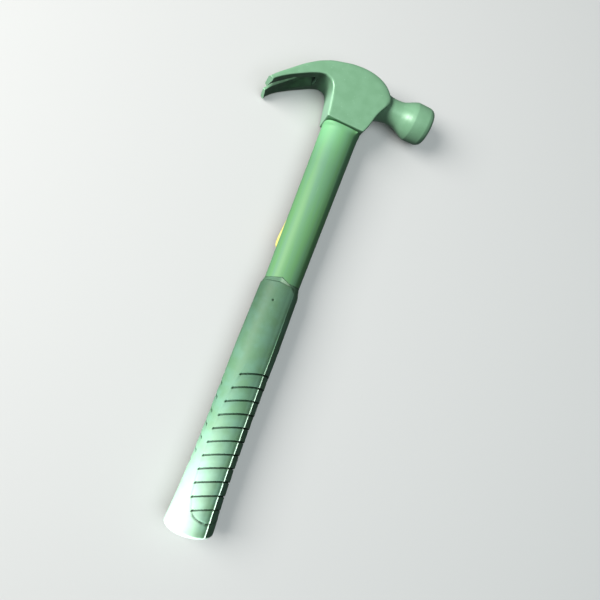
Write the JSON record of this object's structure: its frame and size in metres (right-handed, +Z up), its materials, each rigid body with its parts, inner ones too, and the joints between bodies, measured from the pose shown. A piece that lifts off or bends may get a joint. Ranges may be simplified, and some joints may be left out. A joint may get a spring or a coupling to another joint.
{
  "type": "claw hammer",
  "caption": "Claw hammer with a forged steel head, curved nail-pulling claw and a jacketed fibreglass handle with a grooved moulded grip.",
  "frame": {"origin": "middle of the hammer's footprint as it lies on its cheek, on the surface it lies on", "axes": "+Y along the handle from the butt to the crown, +X towards the striking face, +Z up out of the cheek"},
  "size_m": [0.1163, 0.3292, 0.027],
  "materials": {
    "head_finish": "hammer-forged steel under a thin satin green lacquer",
    "fibreglass": "pultruded glass fibre in resin",
    "resin": "cast epoxy, dark, slightly rough",
    "jacket": "smooth glossy moulded jacket",
    "grip": "soft satin moulded rubber",
    "pad": "pale yellow blank pad"
  },
  "bodies": {
    "root": {"head": "head_finish", "fibreglass_core": "fibreglass", "eye_resin": "resin", "shaft_jacket": "jacket", "grip_sleeve": "grip", "name_pad": "pad"}
  },
  "joints": []
}
